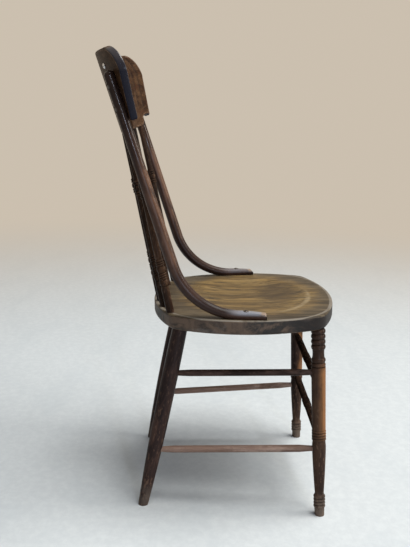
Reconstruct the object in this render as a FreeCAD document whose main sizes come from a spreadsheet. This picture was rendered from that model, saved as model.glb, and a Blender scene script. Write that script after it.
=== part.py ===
# Spindle back chair of youth size: a saddled plank seat on four turned legs that dowel stretchers tie,
# two bent posts that stand on the seat and lap a curved crest rail, and a row of turned spindles between.
# Millimetres, +Z up. The sitter faces -Y, and the sitter's left is +X.
import FreeCAD, Part
import math
import os
import re
import Sketcher
from FreeCAD import Placement, Rotation, Vector

SIZES = {
    # Seat: four arcs with rounded corners, sloping down to the rear, dished for the sitter.
    "seat_height": 350.5,
    "seat_centre_y": -53.6,
    "seat_slope_angle": 2.3,
    "seat_width": 352.0,
    "seat_depth": 322.0,
    "seat_thickness": 24.5,
    "seat_front_arc": 340.0,
    "seat_rear_arc": 290.0,
    "seat_side_arc": 260.0,
    "seat_side_setback": -9.0,
    "seat_corner_radius": 34.0,
    "seat_top_round": 3.0,
    "seat_bottom_round": 6.0,
    "dish_side_border": 45.0,
    "dish_end_border": 54.0,
    "dish_depth": 8.0,
    "dish_crown": 60.0,
    "dish_setback": -12.0,
    # Legs: how far in from the seat's edges they enter it, and how far out from there they stand.
    "front_leg_splay": 21.0,
    "front_leg_rake": 22.0,
    "front_leg_inset": 39.0,
    "front_leg_setback": 42.0,
    "rear_leg_splay": 14.0,
    "rear_leg_rake": 55.0,
    "rear_leg_inset": 53.0,
    "rear_leg_setback": 49.0,
    "leg_tenon_diameter": 16.0,
    "leg_tenon_length": 13.0,
    "foot_trim": 5.0,
    # Front leg turning, from the floor up.
    "front_foot_end_diameter": 16.8,
    "front_foot_diameter": 20.4,
    "front_foot_flare": 14.0,
    "foot_ring_pitch": 5.8,
    "foot_ring_rise": 1.5,
    "ankle_diameter": 15.6,
    "ankle_height": 40.5,
    "baluster_diameter": 23.6,
    "baluster_height": 120.0,
    "baluster_swell": 0.4,
    "baluster_round": 0.4,
    "baluster_neck_height": 136.0,
    "baluster_neck_diameter": 21.6,
    "collar_ring_pitch": 4.8,
    "collar_ring_rise": 1.4,
    "column_foot_diameter": 23.2,
    "column_top_diameter": 24.4,
    "column_top_height": 266.0,
    "shoulder_bead_pitch": 8.0,
    "shoulder_bead_rise": 1.7,
    "vase_diameter": 19.6,
    "capital_bead_pitch": 9.0,
    "capital_bead_rise": 1.9,
    # Rear leg turning: a plain swelling taper.
    "rear_leg_foot_diameter": 17.0,
    "rear_leg_swell_diameter": 27.0,
    "rear_leg_swell_height": 190.0,
    "rear_leg_swell": 1.2,
    "rear_leg_round": 0.4,
    "rear_leg_top_diameter": 25.5,
    # Stretchers, with the heights at which their axes meet the legs' axes.
    "stretcher_tenon_diameter": 9.6,
    "stretcher_tenon_stop": 2.0,
    "stretcher_taper": 20.0,
    "side_upper_front_height": 255.0,
    "side_upper_rear_height": 240.5,
    "side_upper_diameter": 11.4,
    "side_lower_front_height": 120.5,
    "side_lower_rear_height": 102.0,
    "side_lower_diameter": 12.4,
    "front_upper_height": 232.0,
    "front_lower_height": 142.0,
    "front_stretcher_diameter": 13.0,
    "front_ring_pitch": 4.5,
    "front_ring_rise": 1.7,
    "front_ring_neck": 11.2,
    "rear_stretcher_height": 150.0,
    "rear_stretcher_diameter": 11.6,
    # Spindles: a row along an arc, leaning back, with two turned groups each.
    "spindle_row_setback": 11.0,
    "spindle_row_arc": 320.0,
    "spindle_post_gap": 32.0,
    "spindle_lean_angle": 13.0,
    "spindle_foot_diameter": 13.4,
    "spindle_waist_diameter": 11.2,
    "spindle_body_diameter": 12.2,
    "spindle_head_diameter": 10.0,
    "spindle_tenon_diameter": 7.0,
    "spindle_foot_tenon": 9.0,
    "spindle_head_tenon": 12.0,
    "lower_turning_height": 46.0,
    "spindle_urn_length": 12.0,
    "spindle_urn_rise": 1.6,
    "spindle_bud_length": 10.0,
    "spindle_ring_pitch": 3.8,
    "spindle_ring_rise": 1.4,
    "upper_turning_height": 197.0,
    # Crest rail: a curved board that leans back with the posts.
    "crest_base_height": 637.0,
    "back_lean_angle": 19.5,
    "crest_arc": 360.0,
    "crest_thickness": 10.5,
    "crest_height": 133.0,
    "crest_crown": 5.0,
    "crest_ear_overhang": 24.0,
    "crest_waist_overhang": 7.0,
    "crest_corner_width": 44.0,
    "crest_corner_height": 42.0,
    "crest_cusp_height": 15.0,
    "crest_tongue_margin": 11.0,
    "crest_tongue_radius": 14.0,
    "crest_cove_depth": 4.0,
    # Bent posts: round rods with a flat foot on the seat and a domed top behind the crest rail.
    "post_inset": 28.0,
    "post_head_diameter": 17.0,
    "post_bend_diameter": 19.5,
    "post_foot_diameter": 16.0,
    "post_bend_radius": 115.0,
    "post_toe_angle": 7.5,
    "post_foot_reach": 128.5,
    "post_foot_flat": 2.5,
    "post_tip_height": 9.0,
    "post_tip_bevel": 3.5,
    "post_top_below_crest": 36.0,
    "post_top_round": 7.5,
    "post_lap_depth": 1.5,
    # Screws through the posts' feet into the seat, through the posts into the crest rail, and in its back.
    "screw_head_diameter": 9.0,
    "screw_head_height": 2.6,
    "screw_crown_diameter": 3.2,
    "screw_dome_rise": 0.7,
    "screw_head_recess": 0.8,
    "screw_head_room": 10.4,
    "screw_shank_diameter": 4.2,
    "screw_point_diameter": 1.7,
    "foot_screw_setback": 34.5,
    "foot_screw_length": 27.0,
    "crest_screw_length": 20.0,
    "crest_screw_low": 38.0,
    "crest_screw_pitch": 36.0,
    "back_screw_inset": 36.0,
    "back_screw_height": 108.0,
    "back_screw_length": 8.0,
    # Fits.
    "socket_clearance": 0.1,
    "socket_end_clearance": 0.5,
    "seating_gap": 0.1,
}
SPINDLE_COUNT = 7
LOWER_RING_COUNT = 3
UPPER_RING_COUNT = 3
BUD_RING_COUNT = 2
FOOT_RING_COUNT = 4
COLLAR_RING_COUNT = 4
SHOULDER_BEAD_COUNT = 2
CAPITAL_BEAD_COUNT = 4
FRONT_RING_COUNT = 6
CREST_SCREW_COUNT = 2
BEND_STEP_COUNT = 8
TIP_BEVEL_ANGLE = 45.0
QUARTER_ROUND_RISE = 1 - math.sqrt(0.5)
UPRIGHT_SHARE = 0.9
TOLERANCE = 1e-4

# Widths that follow from the seat's width: the posts stand in from its edges, the crest rail reaches past
# the posts, and the spindles share the room between the posts.
POST_X = "(seat_width / 2 - post_inset)"
SPINDLE_PITCH = f"(2 * ({POST_X} - spindle_post_gap) / ({SPINDLE_COUNT} - 1))"
TONGUE_X = f"({POST_X} - spindle_post_gap + crest_tongue_margin)"
LAP_RADIUS = "(crest_arc + crest_thickness / 2 + post_head_diameter / 2 - post_lap_depth)"
SPINDLE_ROW_Y = "(seat_depth / 2 - spindle_row_setback)"
SHANK_BORE = "screw_shank_diameter + 2 * socket_clearance"

UP = Vector(0, 0, 1)
ACROSS = Vector(1, 0, 0)
SIDES = {"left": 1, "right": -1}

doc = FreeCAD.newDocument("spindle_back_chair")
sheet = doc.addObject("Spreadsheet::Sheet", "Sizes")
for row, (alias, number) in enumerate(SIZES.items(), start=1):
    sheet.set(f"A{row}", alias)
    sheet.set(f"B{row}", str(number))
    sheet.setAlias(f"B{row}", alias)
doc.recompute()


def linked(formula):
    """The formula with the name of each size pointing at its cell."""
    return re.sub(r"[a-z]\w*", lambda word: "Sizes." + word[0] if word[0] in SIZES else word[0], formula)


def value(formula):
    """The number that a formula of sizes gives."""
    return float(sheet.evalExpression(linked(formula)))


def bind(item, prop, formula):
    """Ties a property of a document object to a formula of sizes."""
    item.setExpression(prop, linked(formula))


def half(formula):
    """The formula for half of a size, such as a radius from a diameter."""
    return f"({formula}) / 2"


def mirrored(point, side):
    """A point given for the left side, on the given side."""
    return Vector(point.x * side, point.y, point.z)


# Frames of the seat and of the crest rail

seat_frame = Placement(
    Vector(0, value("seat_centre_y"), value("seat_height")),
    Rotation(ACROSS, -value("seat_slope_angle")),
)


def arc_setback(arc, x):
    """How far an arc of a radius, bowed to the rear, has come forward at x from the middle."""
    radius = value(arc)
    return radius - math.sqrt(radius ** 2 - x ** 2)


def seat_point(x, y, z=0.0):
    """A point given from the middle of the seat's top, in the chair's frame."""
    return seat_frame.multVec(Vector(x, y, z))


middle_foot = seat_point(0, value(SPINDLE_ROW_Y))
crest_rise = value("crest_base_height") - middle_foot.z
crest_base_y = middle_foot.y + crest_rise * math.tan(math.radians(value("spindle_lean_angle")))
crest_frame = Placement(
    Vector(0, crest_base_y, value("crest_base_height")),
    Rotation(ACROSS, -value("back_lean_angle")),
)


# Helpers for the features that the sub-parts share

def origin_plane(body, role):
    """One of a body's own origin planes."""
    return next(feature for feature in body.Origin.OriginFeatures if feature.Role == role)


def new_sketch(body, name, role):
    """An empty sketch on one of a body's origin planes."""
    sketch = body.newObject("Sketcher::SketchObject", name)
    sketch.AttachmentSupport = (origin_plane(body, role), [""])
    sketch.MapMode = "FlatFace"
    return sketch


def outline(sketch, stations, on_axis=False):
    """Draws a chain of lines and arcs through stations and ties every station to its sizes.

    A station is (x formula, y formula) or (x formula, y formula, shape, depth formula), where shape says how
    the run that ends there swells: a bead to the right of its direction, a cove to the left.
    on_axis closes the chain along the sketch's vertical axis, otherwise it closes on its first station.
    """
    spots = [Vector(value(station[0]), value(station[1]), 0) for station in stations]
    order = list(range(len(spots))) + [0]
    runs = []
    rules = []
    formulas = {}
    for first, last in zip(order, order[1:]):
        start, end = spots[first], spots[last]
        shaped = len(stations[last]) == 4 and not (on_axis and last == 0)
        if not shaped:
            geometry = sketch.addGeometry(Part.LineSegment(start, end))
            runs.append((geometry, 1, 2))
            continue
        shape, depth = stations[last][2:]
        along = end - start
        side = Vector(along.y, -along.x, 0).normalize()
        sign = 1 if shape == "bead" else -1
        middle = (start + end) * 0.5 + side * (sign * value(depth))
        geometry = sketch.addGeometry(Part.Arc(start, middle, end))
        runs.append((geometry, 1, 2) if sign > 0 else (geometry, 2, 1))
        across = f"({stations[last][0]}) - ({stations[first][0]})"
        rise = f"({stations[last][1]}) - ({stations[first][1]})"
        chord_squared = f"(({across}) * ({across}) + ({rise}) * ({rise}))"
        radius = f"{chord_squared} / (8 * ({depth})) + ({depth}) / 2"
        formulas[len(rules)] = radius
        rules.append(Sketcher.Constraint("Radius", geometry, value(radius)))
    for (geometry, _, end_mark), (following, start_mark, _) in zip(runs, runs[1:] + runs[:1]):
        rules.append(Sketcher.Constraint("Coincident", geometry, end_mark, following, start_mark))
    for spot, station, (geometry, start_mark, _) in zip(spots, stations, runs):
        for axis, distance, number, formula in (
            (-2, "DistanceX", spot.x, station[0]),
            (-1, "DistanceY", spot.y, station[1]),
        ):
            if formula == "0":
                rules.append(Sketcher.Constraint("PointOnObject", geometry, start_mark, axis))
                continue
            formulas[len(rules)] = formula
            rules.append(Sketcher.Constraint(distance, -1, 1, geometry, start_mark, number))
    sketch.addConstraint(rules)
    for index, formula in formulas.items():
        sketch.setExpression(f"Constraints[{index}]", linked(formula))


def turned(name, stations):
    """A turned blank: a half profile of straight cuts, beads and coves, revolved about its own axis."""
    body = doc.addObject("PartDesign::Body", name)
    profile = new_sketch(body, name + "_profile", "XZ_Plane")
    outline(profile, [("0", "0")] + stations + [("0", stations[-1][1])], on_axis=True)
    revolution = body.newObject("PartDesign::Revolution", name + "_revolution")
    revolution.Profile = profile
    revolution.ReferenceAxis = (profile, ["V_Axis"])
    revolution.Angle = 360
    profile.Visibility = False
    return body


def rod(name, start, direction, diameter, length):
    """A plain cylinder from a point along a direction."""
    cylinder = doc.addObject("Part::Cylinder", name)
    bind(cylinder, "Radius", half(diameter))
    bind(cylinder, "Height", length)
    cylinder.Placement = Placement(start, Rotation(UP, direction))
    return cylinder


def cut(label, base, tools):
    """The base with all the tools taken out of it."""
    joined = doc.addObject("Part::MultiFuse", label + "_cuts")
    joined.Shapes = tools
    result = doc.addObject("Part::Cut", label)
    result.Base = base
    result.Tool = joined
    return result


def beyond_plane(name, spot, beyond, breadth):
    """A block that starts the seating gap short of a plane through a point and reaches beyond it."""
    block = doc.addObject("Part::Box", name)
    for prop in ("Length", "Width", "Height"):
        bind(block, prop, breadth)
    corner = Vector(-value(half(breadth)), -value(half(breadth)), -value("seating_gap"))
    block.Placement = Placement(spot, Rotation(UP, beyond)).multiply(Placement(corner, Rotation()))
    return block


def shoulder_cut(name, spot, beyond, axis, tenon, breadth):
    """A block beyond a plane through a point, less the tenon that it leaves standing along an axis."""
    trimmed = doc.addObject("Part::Cut", name)
    trimmed.Base = beyond_plane(name + "_block", spot, beyond, breadth)
    trimmed.Tool = rod(name + "_core", spot - axis * value(breadth), axis, tenon, f"3 * {breadth}")
    return trimmed


def group(label, members):
    """Like pieces that share one node."""
    compound = doc.addObject("Part::Compound", label)
    compound.Links = members
    return compound


def beads(radius, base, pitch, rise, count):
    """Stations of a stack of equal beads on a common radius."""
    return [(radius, f"{base} + {number} * {pitch}", "bead", rise) for number in range(1, count + 1)]


# Axes of the legs, the stretchers and the spindles

def leg_ends(end, side):
    """The foot of a leg on the floor, and the point where its axis meets the underside of the seat."""
    outward = -1 if end == "front" else 1
    x = value(f"seat_width / 2 - {end}_leg_inset")
    y = outward * value(f"seat_depth / 2 - {end}_leg_setback")
    top = seat_point(x, y, -value("seat_thickness"))
    foot_y = value("seat_centre_y") + y + outward * value(f"{end}_leg_rake")
    foot = Vector(x + value(f"{end}_leg_splay"), foot_y, 0)
    return mirrored(foot, side), mirrored(top, side)


def leg_point(end, side, height):
    """The point of a leg's axis at a height above the floor."""
    foot, top = leg_ends(end, side)
    return foot + (top - foot) * (value(height) / top.z)


STRETCHERS = {}
for level in ("upper", "lower"):
    for label, side in SIDES.items():
        STRETCHERS[f"side_stretcher_{level}_{label}"] = (
            ("front", side, f"side_{level}_front_height"),
            ("rear", side, f"side_{level}_rear_height"),
        )
    STRETCHERS[f"front_stretcher_{level}"] = (
        ("front", 1, f"front_{level}_height"),
        ("front", -1, f"front_{level}_height"),
    )
STRETCHERS["rear_stretcher"] = (
    ("rear", 1, "rear_stretcher_height"),
    ("rear", -1, "rear_stretcher_height"),
)


def stretcher_axis(name):
    """The two points where a stretcher's axis meets the axes of its legs."""
    first, last = STRETCHERS[name]
    return leg_point(*first), leg_point(*last)


def spindle_axis(number):
    """Where a spindle's axis meets the top of the seat and the lower edge of the crest rail."""
    x = (number - (SPINDLE_COUNT - 1) / 2) * value(SPINDLE_PITCH)
    foot = seat_point(x, value(SPINDLE_ROW_Y) - arc_setback("spindle_row_arc", x))
    head = crest_frame.multVec(Vector(x, -arc_setback("crest_arc", x), 0))
    return foot, head


# Bent posts: the straight stretch lies behind the crest rail, parallel to it, and the foot lies on the seat

def post_axes(side):
    """Where a post's two straight stretches would meet, and their directions to the tip and the top."""
    across = value(POST_X)
    behind = math.sqrt(value(LAP_RADIUS) ** 2 - across ** 2) - value("crest_arc")
    upward = crest_frame.Rotation.multVec(UP)
    beside_crest = crest_frame.multVec(Vector(across, behind, 0))
    seat_normal = seat_frame.Rotation.multVec(UP)
    axis_height = value("post_foot_diameter / 2 - post_foot_flat")
    above_seat = (beside_crest - seat_frame.Base).dot(seat_normal) - axis_height
    corner = beside_crest - upward * (above_seat / upward.dot(seat_normal))
    toe = math.radians(value("post_toe_angle"))
    to_tip = seat_frame.Rotation.multVec(Vector(math.sin(toe), -math.cos(toe), 0))
    return mirrored(corner, side), mirrored(to_tip, side), mirrored(upward, side)


def post_length():
    """The length of a post's straight stretch from that meeting point to its top."""
    corner, _, upward = post_axes(1)
    beside_crest = crest_frame.inverse().multVec(corner)
    return value("crest_height - post_top_below_crest") - beside_crest.z


def bent_rod(name, side):
    """A rod with a straight foot, a bend in which it thickens, and a straight back that tapers to its top."""
    corner, to_tip, upward = post_axes(side)
    backward = to_tip * -1
    turn = backward.getAngle(upward)
    normal = backward.cross(upward).normalize()
    in_plane = normal.cross(backward)
    tangent = f"post_bend_radius * {math.tan(turn / 2)}"
    tip = corner + to_tip * value("post_foot_reach")
    foot = rod(name + "_foot", tip, backward, "post_foot_diameter", f"post_foot_reach - {tangent}")
    bend_start = corner + to_tip * value(tangent)
    circles = []
    for step in range(BEND_STEP_COUNT + 1):
        share = step / BEND_STEP_COUNT
        reach = backward * math.sin(turn * share) + in_plane * (1 - math.cos(turn * share))
        along = backward * math.cos(turn * share) + in_plane * math.sin(turn * share)
        circle = doc.addObject("Part::Circle", f"{name}_section_{step}")
        thickening = f"(post_bend_diameter - post_foot_diameter) * {share}"
        bind(circle, "Radius", half(f"post_foot_diameter + {thickening}"))
        spot = bend_start + reach * value("post_bend_radius")
        circle.Placement = Placement(spot, Rotation(normal, along.cross(normal), along, "XYZ"))
        circles.append(circle)
    bend = doc.addObject("Part::Loft", name + "_bend")
    bend.Sections = circles
    bend.Solid = True
    back = doc.addObject("Part::Cone", name + "_back")
    bind(back, "Radius1", half("post_bend_diameter"))
    bind(back, "Radius2", half("post_head_diameter"))
    bind(back, "Height", f"{post_length()} - {tangent}")
    back.Placement = Placement(corner + upward * value(tangent), Rotation(UP, upward))
    rod_shape = doc.addObject("Part::MultiFuse", name)
    rod_shape.Shapes = [foot, bend, back]
    return rod_shape


def post_foot_fall():
    """The angle at which the planed top of a post's foot falls from the start of the bend to its tip."""
    _, to_tip, upward = post_axes(1)
    turn = (to_tip * -1).getAngle(upward)
    straight = value("post_foot_reach") - value("post_bend_radius") * math.tan(turn / 2)
    return math.atan(value("post_foot_diameter - post_foot_flat - post_tip_height") / straight)


def plane_cut(name, side, tip_height, angle):
    """A block that takes off all above a plane that falls, at an angle, to a height at a foot's tip."""
    corner, to_tip, _ = post_axes(side)
    seat_normal = seat_frame.Rotation.multVec(UP)
    tip = corner + to_tip * value("post_foot_reach")
    hinge = tip + seat_normal * value(f"{tip_height} + post_foot_flat - post_foot_diameter / 2")
    fall = math.radians(angle)
    slope = to_tip * math.cos(fall) - seat_normal * math.sin(fall)
    outward = to_tip * math.sin(fall) + seat_normal * math.cos(fall)
    sideways = slope.cross(outward)
    block = doc.addObject("Part::Box", name)
    bind(block, "Length", "2 * post_foot_diameter")
    bind(block, "Width", "4 * post_foot_diameter")
    bind(block, "Height", "post_foot_diameter")
    start = hinge - sideways * value("post_foot_diameter") - slope * value("3 * post_foot_diameter")
    block.Placement = Placement(start, Rotation(sideways, slope, outward, "XYZ"))
    return block


def foot_screw_axis(side):
    """Where the screw through a post's foot seats its head, and the way that it points."""
    corner, to_tip, _ = post_axes(side)
    seat_normal = seat_frame.Rotation.multVec(UP)
    on_axis = corner + to_tip * value("post_foot_reach - foot_screw_setback")
    planed_height = value("post_tip_height") + value("foot_screw_setback") * math.tan(post_foot_fall())
    above_axis = planed_height - value("post_foot_diameter / 2 - post_foot_flat + screw_head_recess")
    return on_axis + seat_normal * above_axis, seat_normal * -1


def crest_screw_axes(side):
    """Where the screws through a post seat their heads, and the way they point: square to the crest rail."""
    turn = math.asin(value(f"{POST_X} / {LAP_RADIUS}"))
    inward = crest_frame.Rotation.multVec(Vector(-side * math.sin(turn), -math.cos(turn), 0))
    across = side * value(POST_X)
    behind = value(LAP_RADIUS) * math.cos(turn) - value("crest_arc")
    to_seat = inward * value("post_head_diameter / 2 - screw_head_height")
    axes = []
    for number in range(CREST_SCREW_COUNT):
        height = value(f"crest_screw_low + {number} * crest_screw_pitch")
        axes.append((crest_frame.multVec(Vector(across, behind, height)) - to_seat, inward))
    return axes


def back_screw_axis(side):
    """Where a screw of its own goes into the crest rail's back, and the way that it points."""
    outer = value("crest_arc + crest_thickness / 2")
    across = side * value(f"{POST_X} - back_screw_inset")
    turn = math.asin(across / outer)
    behind = outer * math.cos(turn) - value("crest_arc")
    spot = crest_frame.multVec(Vector(across, behind, value("back_screw_height")))
    inward = crest_frame.Rotation.multVec(Vector(-math.sin(turn), -math.cos(turn), 0))
    return spot, inward


def screw(name, seat_spot, direction, length):
    """A round-headed wood screw whose head sits on a point and whose shank points along a direction."""
    stations = [
        (half("screw_point_diameter"), "0"),
        (half("screw_shank_diameter"), "screw_shank_diameter"),
        (half("screw_shank_diameter"), length),
        (half("screw_head_diameter"), length),
        (half("screw_crown_diameter"), f"{length} + screw_head_height", "bead", "screw_dome_rise"),
    ]
    body = turned(name, stations)
    body.Placement = Placement(seat_spot + direction * value(length), Rotation(UP, direction * -1))
    return body


def screw_hole(name, spot, direction, length):
    """The hole for a screw's shank and, above its seat, the room for its head."""
    head_bore = "screw_head_diameter + 2 * socket_clearance"
    shank = rod(name + "_shank_hole", spot, direction, SHANK_BORE, length)
    head = rod(name + "_head_room", spot, direction * -1, head_bore, "screw_head_room")
    return [shank, head]


# Seat

def seat_blank():
    """The plank: the common of four discs, whose rims are the four edges, with rounded corners and edges."""
    discs = []
    reaches = {
        "front": ("seat_front_arc", Vector(0, value("seat_front_arc - seat_depth / 2"), 0)),
        "rear": ("seat_rear_arc", Vector(0, value("seat_depth / 2 - seat_rear_arc"), 0)),
    }
    for label, side in SIDES.items():
        inset = value("seat_width / 2 - seat_side_arc") * side
        reaches[label] = ("seat_side_arc", Vector(inset, value("seat_side_setback"), 0))
    for label, (radius, centre) in reaches.items():
        disc = doc.addObject("Part::Cylinder", f"seat_{label}_disc")
        bind(disc, "Radius", radius)
        bind(disc, "Height", "seat_thickness")
        disc.Placement = Placement(centre - UP * value("seat_thickness"), Rotation())
        discs.append(disc)
    plank = doc.addObject("Part::MultiCommon", "seat_plank")
    plank.Shapes = discs
    doc.recompute()
    corners = doc.addObject("Part::Fillet", "seat_corners")
    corners.Base = plank
    corner_radius = value("seat_corner_radius")
    corners.Edges = [
        (number, corner_radius, corner_radius)
        for number, edge in enumerate(plank.Shape.Edges, start=1)
        if abs(edge.tangentAt(edge.FirstParameter).z) > UPRIGHT_SHARE
    ]
    doc.recompute()
    rounded = doc.addObject("Part::Fillet", "seat_edges")
    rounded.Base = corners
    radius_by_level = {0.0: value("seat_top_round"), -value("seat_thickness"): value("seat_bottom_round")}
    edges = []
    for number, edge in enumerate(corners.Shape.Edges, start=1):
        for level, radius in radius_by_level.items():
            if abs(edge.BoundBox.ZMin - level) < TOLERANCE and abs(edge.BoundBox.ZMax - level) < TOLERANCE:
                edges.append((number, radius, radius))
    rounded.Edges = edges
    return rounded


def seat_dish():
    """The hollow for the sitter: the cap of an ellipsoid that stands above the seat."""
    dish = doc.addObject("Part::Ellipsoid", "seat_dish")
    drop = "dish_crown - dish_depth"
    share = f"sqrt(1 - ({drop}) * ({drop}) / (dish_crown * dish_crown))"
    bind(dish, "Radius1", "dish_crown")
    bind(dish, "Radius2", f"(seat_width / 2 - dish_side_border) / {share}")
    bind(dish, "Radius3", f"(seat_depth / 2 - dish_end_border) / {share}")
    dish.Placement = Placement(Vector(0, value("dish_setback"), value(drop)), Rotation())
    return dish


def seat():
    """The seat with its dish, and the sockets of the legs, the spindles and the posts' screws."""
    dished = doc.addObject("Part::Cut", "seat_dished")
    dished.Base = seat_blank()
    dished.Tool = seat_dish()
    dished.Placement = seat_frame
    sockets = []
    for end in ("front", "rear"):
        for label, side in SIDES.items():
            foot, top = leg_ends(end, side)
            upward = (top - foot).normalize()
            start = top - upward * value("seat_thickness")
            depth = "seat_thickness + leg_tenon_length + socket_end_clearance"
            bore = "leg_tenon_diameter + 2 * socket_clearance"
            sockets.append(rod(f"{end}_leg_{label}_socket", start, upward, bore, depth))
    for number in range(SPINDLE_COUNT):
        foot, head = spindle_axis(number)
        upward = (head - foot).normalize()
        start = foot - upward * value("spindle_foot_tenon + socket_end_clearance")
        bore = "spindle_tenon_diameter + 2 * socket_clearance"
        sockets.append(rod(f"spindle_{number + 1}_seat_socket", start, upward, bore, "seat_thickness"))
    for label, side in SIDES.items():
        spot, downward = foot_screw_axis(side)
        depth = "foot_screw_length + socket_end_clearance"
        sockets.append(rod(f"post_{label}_seat_hole", spot, downward, SHANK_BORE, depth))
    return cut("seat", dished, sockets)


# Legs

def front_leg_stations(length):
    """The turning of a front leg, from the end that is sawn off level with the floor up to the seat."""
    foot = "foot_trim + front_foot_flare"
    ring_base = half("front_foot_diameter") + " - foot_ring_rise"
    neck = half("baluster_neck_diameter")
    collar = "foot_trim + baluster_neck_height"
    column = f"{collar} + {COLLAR_RING_COUNT} * collar_ring_pitch"
    shoulder = "foot_trim + column_top_height"
    shoulder_base = half("column_top_diameter") + " - shoulder_bead_rise"
    capital = f"foot_trim + {length} - {CAPITAL_BEAD_COUNT} * capital_bead_pitch"
    capital_base = half("column_top_diameter") + " - capital_bead_rise"
    stations = [(half("front_foot_end_diameter"), "0"), (half("front_foot_end_diameter"), "foot_trim")]
    stations.append((ring_base, foot))
    stations += beads(ring_base, foot, "foot_ring_pitch", "foot_ring_rise", FOOT_RING_COUNT)
    stations += [
        (half("ankle_diameter"), "foot_trim + ankle_height"),
        (half("baluster_diameter"), "foot_trim + baluster_height", "bead", "baluster_swell"),
        (neck, collar, "bead", "baluster_round"),
    ]
    stations += beads(neck, collar, "collar_ring_pitch", "collar_ring_rise", COLLAR_RING_COUNT)
    stations += [(half("column_foot_diameter"), column), (half("column_top_diameter"), shoulder)]
    stations.append((shoulder_base, shoulder))
    stations += beads(
        shoulder_base, shoulder, "shoulder_bead_pitch", "shoulder_bead_rise", SHOULDER_BEAD_COUNT
    )
    stations.append((capital_base, capital, "cove", f"{capital_base} - {half('vase_diameter')}"))
    stations += beads(capital_base, capital, "capital_bead_pitch", "capital_bead_rise", CAPITAL_BEAD_COUNT)
    return stations


def rear_leg_stations(length):
    """The turning of a rear leg: a swelling taper from the floor to the seat."""
    swell = "foot_trim + rear_leg_swell_height"
    return [
        (half("rear_leg_foot_diameter"), "0"),
        (half("rear_leg_foot_diameter"), "foot_trim"),
        (half("rear_leg_swell_diameter"), swell, "bead", "rear_leg_swell"),
        (half("rear_leg_top_diameter"), f"foot_trim + {length}", "bead", "rear_leg_round"),
    ]


def leg(end, label):
    """A leg with its tenon, its foot sawn level, and the sockets of the stretchers that meet in it."""
    side = SIDES[label]
    name = f"{end}_leg_{label}"
    foot, top = leg_ends(end, side)
    upward = (top - foot).normalize()
    length = (top - foot).Length
    stations = front_leg_stations(length) if end == "front" else rear_leg_stations(length)
    stations.append((stations[-1][0], f"foot_trim + {length} + leg_tenon_length"))
    turning = turned(name + "_turning", stations)
    turning.Placement = Placement(foot - upward * value("foot_trim"), Rotation(UP, upward))
    floor = doc.addObject("Part::Box", name + "_floor_cut")
    breadth = "2 * rear_leg_swell_diameter"
    for prop in ("Length", "Width"):
        bind(floor, prop, breadth)
    bind(floor, "Height", "2 * foot_trim")
    lowest = Vector(-value(half(breadth)), -value(half(breadth)), -value("2 * foot_trim"))
    floor.Placement = Placement(foot + lowest, Rotation())
    seat_normal = seat_frame.Rotation.multVec(UP)
    tools = [floor, shoulder_cut(name + "_shoulder", top, seat_normal, upward, "leg_tenon_diameter", breadth)]
    for stretcher_name, places in STRETCHERS.items():
        near, far = stretcher_axis(stretcher_name)
        for place, start, finish in ((places[0], near, far), (places[1], far, near)):
            if place[:2] != (end, side):
                continue
            outward = (finish - start).normalize()
            inner_end = start + outward * value("stretcher_tenon_stop - socket_end_clearance")
            bore = "stretcher_tenon_diameter + 2 * socket_clearance"
            depth = "rear_leg_swell_diameter"
            tools.append(rod(f"{name}_{stretcher_name}_socket", inner_end, outward, bore, depth))
    return cut(name, turning, tools)


# Stretchers

def stretcher(name):
    """A stretcher between two legs: plain at the sides and the rear, ringed in the middle at the front."""
    start, finish = stretcher_axis(name)
    along = (finish - start).normalize()
    length = f"{(finish - start).Length} - 2 * stretcher_tenon_stop"
    diameter = "rear_stretcher_diameter"
    if name.startswith("side"):
        diameter = "side_upper_diameter" if "upper" in name else "side_lower_diameter"
    if name.startswith("front"):
        diameter = "front_stretcher_diameter"
    tenon = half("stretcher_tenon_diameter")
    in_leg = half("column_foot_diameter")
    stations = [(tenon, "0"), (tenon, in_leg), (half(diameter), f"{in_leg} + stretcher_taper")]
    if name.startswith("front"):
        neck = half("front_ring_neck")
        rings = f"({length}) / 2 - {FRONT_RING_COUNT} / 2 * front_ring_pitch"
        stations += [(half(diameter), f"{rings} - front_ring_pitch"), (neck, rings)]
        stations += beads(neck, rings, "front_ring_pitch", "front_ring_rise", FRONT_RING_COUNT)
        stations.append((half(diameter), f"{rings} + {FRONT_RING_COUNT + 1} * front_ring_pitch"))
    stations += [
        (half(diameter), f"{length} - {in_leg} - stretcher_taper"),
        (tenon, f"{length} - {in_leg}"),
        (tenon, length),
    ]
    body = turned(name, stations)
    body.Placement = Placement(start + along * value("stretcher_tenon_stop"), Rotation(UP, along))
    return body


# Spindles

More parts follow.
